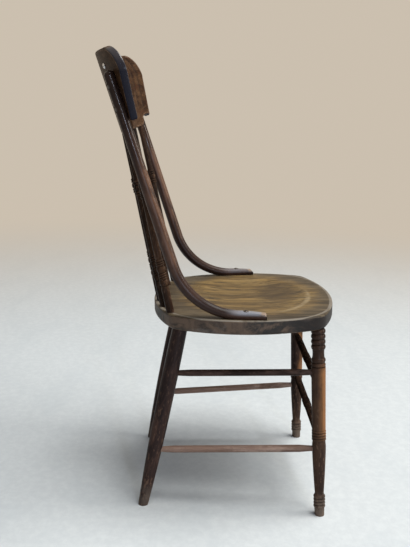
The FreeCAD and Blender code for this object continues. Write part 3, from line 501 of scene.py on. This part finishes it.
def seat_wood():
    """The seat: golden and worn in the dish with a painted highlight along its front, grey-brown at the rim, dark
    down the side, pale along the top edge as wear and painted highlight.
    """
    graph = Graph("seat_wood")
    place = graph.place()
    grain = graph.along(place, (0, 1, 0))
    broad, fine, pores = grain_of(graph, grain, (0.3, 0.1, 0.7), 0.8)
    figure = graph.noise(graph.vector("ADD", grain, (1.3, 2.1, 0.4)), (115, 115, 3.2), detail=5, rough=0.70, warp=0.2)
    waves = graph.noise(graph.vector("ADD", grain, (0.6, 1.7, 0.2)), (42, 42, 2.2), detail=4, rough=0.60, warp=0.15)
    spots = graph.noise(place, (26, 26, 26), detail=5, rough=0.65, warp=0.5)
    blots = graph.noise(place, (60, 24, 60), detail=6, rough=0.72, warp=0.6)
    rim = rim_distance(graph, place)
    plan = graph.vector("MULTIPLY", place, (1, 1, 0))
    facing_up = graph.part(graph.facing(), "Z")
    tones = SEAT_TONES

    # The dish, out to 1 at its border, which the blots make uneven.
    unit = graph.vector("SUBTRACT", plan, (*DISH_CENTRE, 0))
    ring = graph.vector("LENGTH", graph.vector("MULTIPLY", unit, (1 / DISH_HALF[0], 1 / DISH_HALF[1], 0)))
    dish = graph.plus(ring, graph.span(blots, -0.3, 0.3))

    # Golden wood inside it and rim wood outside, with a stain, blots, fine lines and pores.
    lines = graph.math("PINGPONG", graph.times(waves, 9.0), 0.5)
    lines = graph.times(graph.fall(lines, 0.08, 0.22), graph.rise(figure, 0.38, 0.56))
    golden = figured(graph, GOLDEN_TONES, broad, figure, lines, (0.40, 0.60), (0.52, 0.60), 0.95)
    rim_wood = figured(graph, RIM_TONES, broad, figure, lines, (0.36, 0.64), (0.53, 0.62), 0.9)
    colour = graph.mix(graph.rise(dish, 0.98, 1.30), golden, rim_wood)
    stain = graph.vector("MULTIPLY", graph.vector("SUBTRACT", plan, STAIN_PLACE), STAIN_SPREAD)
    stain = graph.plus(graph.vector("LENGTH", stain), graph.span(blots, -0.6, 0.6))
    colour = graph.tint(colour, tones["stain"], graph.fall(stain, 0.5, 1.3), 0.75)
    colour = graph.tint(colour, tones["blot"], graph.rise(blots, 0.56, 0.70), 0.5)
    colour = graph.tint(colour, tones["line"], graph.rise(fine, 0.52, 0.64), 0.55)
    colour = graph.tint(colour, tones["pore"], graph.rise(pores, 0.58, 0.68), 0.4)

    # A pale arc along the front of the dish: a painted highlight where the dish's slope faces the light.
    lightened = graph.band(ring, 0.985, 1.015, 0.05)
    lightened = graph.times(lightened, graph.fall(graph.part(place, "Y"), -0.15, -0.08))
    lightened = graph.times(lightened, graph.fall(graph.part(place, "X"), -0.02, 0.06))
    lightened = graph.times(lightened, graph.rise(spots, 0.34, 0.54))
    colour = graph.tint(colour, tones["lightened"], lightened, 0.65)

    # The side, the underside and the pale top edge, which is wear and a painted highlight.
    colour = graph.mix(graph.fall(facing_up, 0.25, 0.75), colour, seat_side(graph, place, spots))
    colour = graph.mix(graph.fall(facing_up, -0.9, -0.5), colour, tones["underside"])
    # Worn pale line along the top of the rim, also a painted highlight where the rounded edge meets the light.
    edge = graph.times(graph.band(rim, *SEAT_EDGE, SEAT_EDGE_SOFT), graph.rise(facing_up, 0.3, 0.7))
    edge = graph.times(edge, graph.rise(spots, 0.26, 0.50))
    colour = graph.tint(colour, tones["edge"], edge, 0.7)

    roughness = graph.span(spots, 0.40, 0.64)
    relief = graph.minus(graph.times(figure, 0.6), graph.times(pores, 0.35))
    normal = graph.bump(relief, SEAT_RELIEF, 0.6)
    return graph.finish(colour, roughness, normal, Specular_IOR_Level=0.2)


def steel(name, dark, bright):
    """Steel of old screws, from grimy to bare, with hollows darkened as grime and painted shade."""
    graph = Graph(name)
    spots = graph.noise(graph.place(), (900, 900, 900), detail=4, rough=0.65)
    colour = graph.mix(graph.rise(spots, 0.38, 0.66), dark, bright)
    # Hollows darkened: grime, and painted shade where the hollows fall dark.
    grime_and_shade = graph.fall(graph.hidden(STEEL_GRIME_AND_SHADE_REACH), 0.45, 0.9)
    colour = graph.tint(colour, STEEL_GRIME_AND_SHADE, grime_and_shade, 0.9)
    normal = graph.bump(spots, STEEL_RELIEF, 0.5)
    return graph.finish(colour, graph.span(spots, 0.28, 0.50), normal, Metallic=0.85)


def grain_axis(node):
    """The long axis of a straight piece, from its vertices."""
    spots = np.array([vertex.co for vertex in node.data.vertices])
    _, _, axes = np.linalg.svd(spots - spots.mean(0), full_matrices=False)
    return axes[0]


def assign(node, material):
    node.data.materials.clear()
    node.data.materials.append(material)


def piece(name, mesh, material, slot, *replaced):
    """A new object that rides on the chair and stands for CAD nodes."""
    made = bpy.data.objects.new(name, mesh)
    scene.collection.objects.link(made)
    mesh.materials.clear()
    mesh.materials.append(material)
    mesh.shade_smooth()
    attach(made, "root")
    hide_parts(*replaced)


# Crest rail

EDGE_ROUND = 0.0022
INSET_SHARES = (0.08, 0.29, 0.62, 1.0, 1.6)
INSET_SLACK = 5e-5
GROOVES = (0.0075, 0.0150)
GROOVE_HALF = 0.0018
GROOVE_DEPTH = 0.0010
GROOVE_FADE_START = 0.020
GROOVE_FADE_LENGTH = 0.025
ARCH_SQUEEZE = np.array((0.42, 1.0))
OUTLINE_STEP = 0.0025
GRID_STEP = 0.0026
SAME_POINT = 1e-7
INSIDE_ONLY = 1


def bowed(start, end, bow):
    """Points from start up to end along an arc that bows to the right of the way by its sagitta."""
    start, end = np.array(start), np.array(end)
    way = end - start
    length = np.linalg.norm(way)
    right = np.array((way[1], -way[0])) / length
    count = max(2, round(length / OUTLINE_STEP))
    shares = np.arange(count) / count
    if not bow:
        return start + shares[:, None] * way
    half_angle = 2 * math.atan(2 * abs(bow) / length)
    radius = length / 2 / math.sin(half_angle)
    angles = (2 * shares - 1) * half_angle
    along = length / 2 + radius * np.sin(angles)
    out = math.copysign(1, bow) * radius * (np.cos(angles) - math.cos(half_angle))
    return start + along[:, None] * way / length + out[:, None] * right


def crest_outline():
    """The outline of the crest rail, in order, starting at the right end of its lower edge."""
    runs = [(first[:2], second[:2], second[2]) for first, second in zip(CREST_OUTLINE, CREST_OUTLINE[1:])]
    top = CREST_OUTLINE[-1]
    runs.append((top[:2], (-top[0], top[1]), CREST_CROWN))
    runs += [((-end[0], end[1]), (-start[0], start[1]), bow) for start, end, bow in reversed(runs[:-1])]
    foot = CREST_OUTLINE[0]
    runs.append(((-foot[0], foot[1]), foot[:2], 0.0))
    return np.vstack([bowed(*run) for run in runs])


def outline_distance(points, outline):
    """The distance of each point from a closed outline."""
    starts, ends = outline, np.roll(outline, -1, axis=0)
    ways = ends - starts
    share = np.einsum("pij,ij->pi", points[:, None] - starts, ways) / np.einsum("ij,ij->i", ways, ways)
    feet = starts + np.clip(share, 0, 1)[..., None] * ways
    return np.linalg.norm(points[:, None] - feet, axis=2).min(axis=1)


def inside_outline(points, outline):
    """Which points lie inside a closed outline."""
    x0, z0 = outline.T
    x1, z1 = np.roll(outline, -1, axis=0).T
    x, z = points[:, :1], points[:, 1:]
    spans = (z0 > z) != (z1 > z)
    with np.errstate(divide="ignore", invalid="ignore"):
        left = x < x0 + (z - z0) / (z1 - z0) * (x1 - x0)
    return (spans & left).sum(axis=1) % 2 == 1


def crest_points(outline):
    """Points of the crest rail's face: its outline, lines set in from it, and a grid between."""
    ways = np.roll(outline, -1, axis=0) - np.roll(outline, 1, axis=0)
    inward = np.stack((-ways[:, 1], ways[:, 0]), axis=1) / np.linalg.norm(ways, axis=1)[:, None]
    insets = [EDGE_ROUND * share for share in INSET_SHARES]
    rings = [outline]
    for inset in insets:
        ring = outline + inward * inset
        kept = inside_outline(ring, outline) & (outline_distance(ring, outline) > inset - INSET_SLACK)
        rings.append(ring[kept])
    lines = (np.arange(low, high, GRID_STEP) for low, high in zip(outline.min(axis=0), outline.max(axis=0)))
    grid = np.stack(np.meshgrid(*lines), axis=2).reshape(-1, 2)
    kept = inside_outline(grid, outline) & (outline_distance(grid, outline) > insets[-1] + GRID_STEP / 3)
    rings.append(grid[kept])
    return np.vstack(rings)


def crest_mesh():
    """The bent crest rail, with rounded edges and two pressed lines along its ears and top."""
    outline = crest_outline()
    count = len(outline)
    flat, _, faces, *_ = delaunay_2d_cdt(
        [Vector(point) for point in crest_points(outline)],
        [(i, (i + 1) % count) for i in range(count)],
        [list(range(count))], INSIDE_ONLY, SAME_POINT,
    )
    flat = np.array(flat)
    total = len(flat)

    # How far each point lies inside the outline, and how deep the rounded edge and the lines are there.
    inset = outline_distance(flat, outline)
    short = np.clip(EDGE_ROUND - inset, 0, EDGE_ROUND)
    rounding = EDGE_ROUND - np.sqrt(EDGE_ROUND ** 2 - short ** 2)
    arch = outline_distance(flat * ARCH_SQUEEZE, outline * ARCH_SQUEEZE)
    pressed = np.zeros(total)
    for groove in GROOVES:
        pressed = np.maximum(pressed, np.clip(1 - (np.abs(arch - groove) / GROOVE_HALF) ** 2, 0, 1))
    pressed *= np.clip((flat[:, 1] - GROOVE_FADE_START) / GROOVE_FADE_LENGTH, 0, 1)

    # The front and back sheets, bent to the arc, and the walls between their borders.
    half = CREST_THICKNESS / 2
    up = np.array((0, math.sin(BACK_LEAN), math.cos(BACK_LEAN)))
    back = np.array((0, math.cos(BACK_LEAN), -math.sin(BACK_LEAN)))
    across = flat[:, :1] * np.array((1, 0, 0))
    sheets = []
    for radius in (CREST_ARC - half + rounding + GROOVE_DEPTH * pressed, CREST_ARC + half - rounding):
        depth = np.sqrt(radius ** 2 - flat[:, 0] ** 2) - CREST_ARC
        sheets.append(np.array(CREST_ORIGIN) + across + flat[:, 1:] * up + depth[:, None] * back)
    triangles = [tuple(face) for face in faces]
    triangles += [tuple(total + i for i in reversed(face)) for face in faces]
    edge = np.nonzero(inset < SAME_POINT)[0]
    order = sorted(edge, key=lambda i: np.argmin(np.linalg.norm(outline - flat[i], axis=1)))
    walls = [(b, a, total + a, total + b) for a, b in zip(order, order[1:] + order[:1])]
    mesh = bpy.data.meshes.new("crest_rail_shaped")
    mesh.from_pydata(np.vstack(sheets).tolist(), [], [tuple(int(i) for i in face) for face in triangles + walls])

    plain = np.zeros(total)
    for label, front, rear in (("border", inset, inset), ("arch", arch, arch), ("pressed", pressed, plain)):
        numbers = np.concatenate((front, rear))
        mesh.attributes.new(label, "FLOAT", "POINT").data.foreach_set("value", numbers.astype(np.float32))
    return mesh


# Bent posts

def post_bend(side, up):
    """The bend of a post's line: its centre, the ways to the tip, inward and sideways, and its angle."""
    back = Vector((0, math.cos(BACK_LEAN), -math.sin(BACK_LEAN)))
    normal = Vector((0, math.sin(SEAT_SLOPE), math.cos(SEAT_SLOPE)))
    behind = math.sqrt(POST_LAP_RADIUS ** 2 - POST_X ** 2) - CREST_ARC
    beside = CREST_ORIGIN + back * behind
    above = (beside - SEAT_ORIGIN).dot(normal) - POST_AXIS_HEIGHT
    corner = beside - up * (above / up.dot(normal))
    corner.x = side * POST_X
    to_tip = Vector((side * math.sin(POST_TOE), -math.cos(POST_TOE) * normal.z, math.cos(POST_TOE) * normal.y))
    sideways = to_tip.cross(up).normalized()
    inward = to_tip.cross(sideways)
    if inward.dot(up) < 0:
        inward = -inward
    turn = (-to_tip).angle(up)
    centre = corner + to_tip * (POST_BEND_RADIUS * math.tan(turn / 2)) + inward * POST_BEND_RADIUS
    return centre, to_tip, inward, sideways, turn


def post_grain(mesh, side):
    """Gives each point of a post's mesh its place across and along the bent rod."""
    up = Vector((0, math.sin(BACK_LEAN), math.cos(BACK_LEAN)))
    centre, to_tip, inward, sideways, turn = post_bend(side, up)
    end = -to_tip * math.sin(turn) - inward * math.cos(turn)
    places = []
    for vertex in mesh.vertices:
        out = vertex.co - centre
        angle = math.atan2(-out.dot(to_tip), -out.dot(inward))
        if angle < 0:
            along = -out.dot(to_tip)
            lift = POST_BEND_RADIUS + out.dot(inward)
        elif angle > turn:
            along = POST_BEND_RADIUS * turn + out.dot(up)
            lift = POST_BEND_RADIUS - out.dot(end)
        else:
            along = POST_BEND_RADIUS * angle
            lift = POST_BEND_RADIUS - math.hypot(out.dot(to_tip), out.dot(inward))
        places += [lift, out.dot(sideways), along]
    mesh.attributes.new("grain", "FLOAT_VECTOR", "POINT").data.foreach_set("vector", places)


# Screws

SLOT_HALF = 0.00055
SLOT_DEPTH = 0.0011
SLOT_FLOOR = 0.0003
HEAD_STEPS = 14
HEAD_SHARE = 0.995
DOME_FULLNESS = 0.93
WIDEST_SHARE = 0.98
SHANK_SHARE = 0.8
POINT_LENGTH = 1.2
POINT_SHARE = 0.4
ASIDE = (0.0, 0.6, 0.8)
WELD = 1e-6


def islands(mesh):
    """The points of each separate solid of a mesh."""
    grid = bmesh.new()
    grid.from_mesh(mesh)
    bmesh.ops.remove_doubles(grid, verts=grid.verts, dist=WELD)
    waiting = set(grid.verts)
    found = []
    while waiting:
        reached = [waiting.pop()]
        for vertex in reached:
            for edge in vertex.link_edges:
                other = edge.other_vert(vertex)
                if other in waiting:
                    waiting.remove(other)
                    reached.append(other)
        found.append(np.array([vertex.co for vertex in reached]))
    grid.free()
    return sorted(found, key=lambda spots: tuple(spots.mean(axis=0).round(5)))


def screw_sizes(spots):
    """A plain screw's foot, the way to its head, and its radius, rim height, dome height and shank radius."""
    middle = spots.mean(axis=0)
    _, _, axes = np.linalg.svd(spots - middle, full_matrices=False)
    axis = axes[0]
    height = (spots - middle) @ axis
    reach = np.linalg.norm(spots - middle - height[:, None] * axis, axis=1)
    if height[reach.argmax()] < 0:
        axis, height = -axis, -height
    foot = middle + axis * height.min()
    height = height - height.min()
    radius = reach.max()
    rim = height[reach > WIDEST_SHARE * radius].min()
    dome = height.max() - rim
    shank = reach[height < SHANK_SHARE * rim].max()
    return foot, axis, radius, rim, dome, shank


def slotted_screw(spots, turn):
    """A slotted screw in the place of a plain one: the points and faces of its slotted dome, rim and shank."""
    foot, axis, radius, rim, dome, shank = screw_sizes(spots)
    first = np.cross(axis, ASIDE)
    first /= np.linalg.norm(first)
    second = np.cross(axis, first)
    cross = math.cos(turn) * first + math.sin(turn) * second
    along = math.cos(turn) * second - math.sin(turn) * first

    # The head, as columns of points across the slot.
    columns = [(x, True) for x in np.linspace(-HEAD_SHARE * radius, -SLOT_HALF, HEAD_STEPS)]
    columns += [(-SLOT_HALF, False), (SLOT_HALF, False)]
    columns += [(x, True) for x in np.linspace(SLOT_HALF, HEAD_SHARE * radius, HEAD_STEPS)]
    slot_level = max(SLOT_FLOOR, dome - SLOT_DEPTH)
    points, faces = [], []
    for x, raised in columns:
        reach = math.sqrt(radius ** 2 - x ** 2)
        for y in np.linspace(-reach, reach, HEAD_STEPS):
            level = dome * math.sqrt(max(0.0, 1 - DOME_FULLNESS * (x * x + y * y) / radius ** 2))
            points.append((x, y, rim + (level if raised else slot_level)))
    last = len(columns) - 1
    for column in range(last):
        for step in range(HEAD_STEPS - 1):
            a = column * HEAD_STEPS + step
            faces.append((a, a + HEAD_STEPS, a + HEAD_STEPS + 1, a + 1))

    # Rings from the border of the head down to the rim, in to the shank and down to its point.
    border = [column * HEAD_STEPS for column in range(last + 1)]
    border += [last * HEAD_STEPS + step for step in range(1, HEAD_STEPS)]
    border += [column * HEAD_STEPS + HEAD_STEPS - 1 for column in range(last - 1, -1, -1)]
    border += list(range(HEAD_STEPS - 2, 0, -1))
    levels = (
        (1.0, rim),
        (shank / radius, rim),
        (shank / radius, POINT_LENGTH * shank),
        (POINT_SHARE * shank / radius, 0.0),
    )
    rings = [border]
    for share, level in levels:
        start = len(points)
        points += [(points[i][0] * share, points[i][1] * share, level) for i in border]
        rings.append(list(range(start, len(points))))
    for upper, lower in zip(rings, rings[1:]):
        for i in range(len(border)):
            j = (i + 1) % len(border)
            faces.append((upper[j], upper[i], lower[i], lower[j]))
    faces.append(tuple(rings[-1]))
    return [foot + x * cross + y * along + z * axis for x, y, z in points], faces


def slotted_screws(name, rng):
    """The slotted screws that stand for a group of plain ones."""
    points, faces = [], []
    for spots in islands(nodes[name].data):
        more, sides = slotted_screw(spots, rng.uniform(0, math.pi))
        faces += [tuple(len(points) + i for i in side) for side in sides]
        points += more
    mesh = bpy.data.meshes.new(name + "_slotted")
    mesh.from_pydata([tuple(point) for point in points], [], faces)
    mesh.validate()
    return mesh


# The chair's pieces

SEED = 7
SHIFT_SPAN = 5
# How strongly the painted sheen shows on the foot of each post.
LEFT_FOOT_SHEEN = 0.35
RIGHT_FOOT_SHEEN = 0.8

rng = np.random.default_rng(SEED)
for name in sorted(nodes):
    node = nodes[name]
    wood = name + "_wood"
    shift = tuple(float(number) for number in rng.uniform(0, SHIFT_SPAN, 3))
    if name == "seat":
        assign(node, seat_wood())
    elif "screws" in name:
        bare = name == "crest_back_screws"
        finish = steel(name + "_steel", *(BARE_STEEL if bare else GRIMY_STEEL))
        piece(name + "_slotted", slotted_screws(name, rng), finish, "screw_steel", name)
    elif name == "crest_rail":
        piece("crest_rail_shaped", crest_mesh(), crest_wood(shift), "crest_wood", name)
    elif name.startswith("front_leg"):
        assign(node, varnished(wood, TONES["front_leg"], shift, grain_axis(node), worn=0.15, foot_wear=0.7,
                               warm=WARM_COLUMN, dark_above=CAPITAL_HEIGHT))
    elif name.startswith("rear_leg"):
        assign(node, varnished(wood, TONES["rear_leg"], shift, grain_axis(node), worn=0.20, foot_wear=0.5,
                               dark_above=REAR_DARK_HEIGHT))
    elif name.startswith("side_stretcher_lower"):
        assign(node, varnished(wood, TONES["lower_stretcher"], shift, grain_axis(node), worn=0.4))
    elif name.startswith("front_stretcher"):
        assign(node, varnished(wood, TONES["front_stretcher"], shift, grain_axis(node), worn=0.25, sheen=0.0))
    elif "stretcher" in name:
        assign(node, varnished(wood, TONES["side_stretcher"], shift, grain_axis(node), worn=0.25, sheen=0.05))
    elif name.startswith("spindle"):
        assign(node, varnished(wood, TONES["spindle"], shift, grain_axis(node), sheen=0.05))
    else:
        rod = node.data.copy()
        left = name.endswith("left")
        post_grain(rod, 1 if left else -1)
        finish = varnished(wood, TONES["post"], shift, worn=0.10, gloss=0.17, sheen=0.17, warm=WARM_POST,
                           dark_above=POST_DARK_HEIGHT, foot_sheen=LEFT_FOOT_SHEEN if left else RIGHT_FOOT_SHEEN)
        piece(name + "_grained", rod, finish, "turned_wood", name)


# Floor and surroundings

BACKGROUND = (0.60, 0.525, 0.430)
AMBIENT = (0.86, 0.90, 1.0)
AMBIENT_STRENGTH = 0.15
FLOOR_RADIUS = 12.0
FLOOR_SIDES = 96
FLOOR_DROP = 0.0002
FLOOR_FADE = (0.7, 3.2)
FLOOR_TONES = ((0.57, 0.61, 0.625), (0.63, 0.67, 0.68))
CLOUD_TONE = (0.50, 0.55, 0.575)


def seen_directly(tree):
    """1 for rays that show the surroundings as they are: from the camera, in reflections and through glass."""
    rays = tree.nodes.new("ShaderNodeLightPath")
    shown = rays.outputs["Is Camera Ray"]
    for name in ("Is Glossy Ray", "Is Transmission Ray"):
        either = tree.nodes.new("ShaderNodeMath")
        either.operation = "MAXIMUM"
        tree.links.new(shown, either.inputs[0])
        tree.links.new(rays.outputs[name], either.inputs[1])
        shown = either.outputs[0]
    return shown


def surroundings():
    """A world that lights softly and evenly, and shows the background's colour."""
    world = bpy.data.worlds.new("studio")
    scene.world = world
    world.use_nodes = True
    tree = world.node_tree
    ambient = tree.nodes["Background"]
    ambient.inputs["Color"].default_value = (*AMBIENT, 1.0)
    ambient.inputs["Strength"].default_value = AMBIENT_STRENGTH
    backdrop = tree.nodes.new("ShaderNodeBackground")
    backdrop.inputs["Color"].default_value = (*BACKGROUND, 1.0)
    backdrop.inputs["Strength"].default_value = 1.0
    chosen = tree.nodes.new("ShaderNodeMixShader")
    tree.links.new(seen_directly(tree), chosen.inputs[0])
    tree.links.new(ambient.outputs[0], chosen.inputs[1])
    tree.links.new(backdrop.outputs[0], chosen.inputs[2])
    tree.links.new(chosen.outputs[0], tree.nodes["World Output"].inputs["Surface"])


def floor():
    """A wide pale floor whose far part fades into the background."""
    bpy.ops.mesh.primitive_circle_add(
        vertices=FLOOR_SIDES, radius=FLOOR_RADIUS, fill_type="NGON", location=(0, 0, -FLOOR_DROP))
    disc = bpy.context.object
    disc.name = "floor"
    graph = Graph("floor_paint")
    place = graph.place()
    specks = graph.noise(place, (60, 60, 60), detail=5, rough=0.7)
    clouds = graph.noise(place, (4, 9, 4), detail=4, rough=0.6, warp=0.8)
    colour = graph.mix(graph.rise(specks, 0.35, 0.7), *FLOOR_TONES)
    colour = graph.tint(colour, CLOUD_TONE, graph.rise(clouds, 0.45, 0.7), 0.3)
    graph.finish(colour, graph.span(specks, 0.55, 0.8), graph.bump(specks, FLOOR_RELIEF, 0.3))
    far = graph.rise(graph.vector("LENGTH", place), *FLOOR_FADE)
    glow = graph.node("ShaderNodeEmission")
    graph.put(glow.inputs["Color"], (*BACKGROUND, 1.0))
    blend = graph.node("ShaderNodeMixShader")
    graph.put(blend.inputs[0], graph.times(far, seen_directly(graph.tree)))
    graph.put(blend.inputs[1], graph.shader.outputs[0])
    graph.put(blend.inputs[2], glow.outputs[0])
    graph.put(graph.tree.nodes["Material Output"].inputs["Surface"], blend.outputs[0])
    disc.data.materials.append(graph.material)


surroundings()
floor()


# Lamps and camera

MIDDLE = Vector((0.0, 0.0, 0.38))


def lamp(name, place, size, power, colour):
    """A rectangular lamp that faces the chair's middle."""
    light = bpy.data.lights.new(name, "AREA")
    light.shape = "RECTANGLE"
    light.size, light.size_y = size
    light.energy = power
    light.color = colour
    made = bpy.data.objects.new(name, light)
    made.location = place
    made.rotation_mode = "QUATERNION"
    made.rotation_quaternion = (MIDDLE - Vector(place)).to_track_quat("-Z", "Y")
    scene.collection.objects.link(made)


lamp("ceiling_panel", (-0.4, -1.3, 4.4), size=(3.2, 2.4), power=245.0, colour=(1.0, 0.985, 0.96))
lamp("front_panel", (-0.3, -4.2, 1.8), size=(1.2, 1.4), power=72.0, colour=(1.0, 0.95, 0.88))
lamp("window_panel", (-4.4, -1.1, 0.8), size=(0.18, 1.5), power=60.0, colour=(0.74, 0.82, 1.0))

# The camera of the photograph, whose long side has 547 pixels and a focal length of 760 pixels.
CAMERA_PLACE = Vector((-1.3527, 0.0421, 0.6960))
CAMERA_RIGHT = Vector((-0.01127, -0.99935, 0.03429))
CAMERA_UP = Vector((0.22288, 0.03092, 0.97436))
FOCAL_PIXELS = 760.0
LONG_SIDE_PIXELS = 547.0
SENSOR_WIDTH = 36.0
NEAREST_SEEN = 0.01
camera = bpy.data.cameras.new("camera")
camera.sensor_fit = "AUTO"
camera.sensor_width = SENSOR_WIDTH
camera.lens = SENSOR_WIDTH * FOCAL_PIXELS / LONG_SIDE_PIXELS
camera.clip_start = NEAREST_SEEN
viewer = bpy.data.objects.new("camera", camera)
backward = CAMERA_RIGHT.cross(CAMERA_UP).normalized()
upward = backward.cross(CAMERA_RIGHT).normalized()
turn = Matrix((CAMERA_RIGHT.normalized(), upward, backward)).transposed()
viewer.matrix_world = Matrix.Translation(CAMERA_PLACE) @ turn.to_4x4()
scene.collection.objects.link(viewer)
scene.camera = viewer
scene.view_settings.view_transform = "Standard"
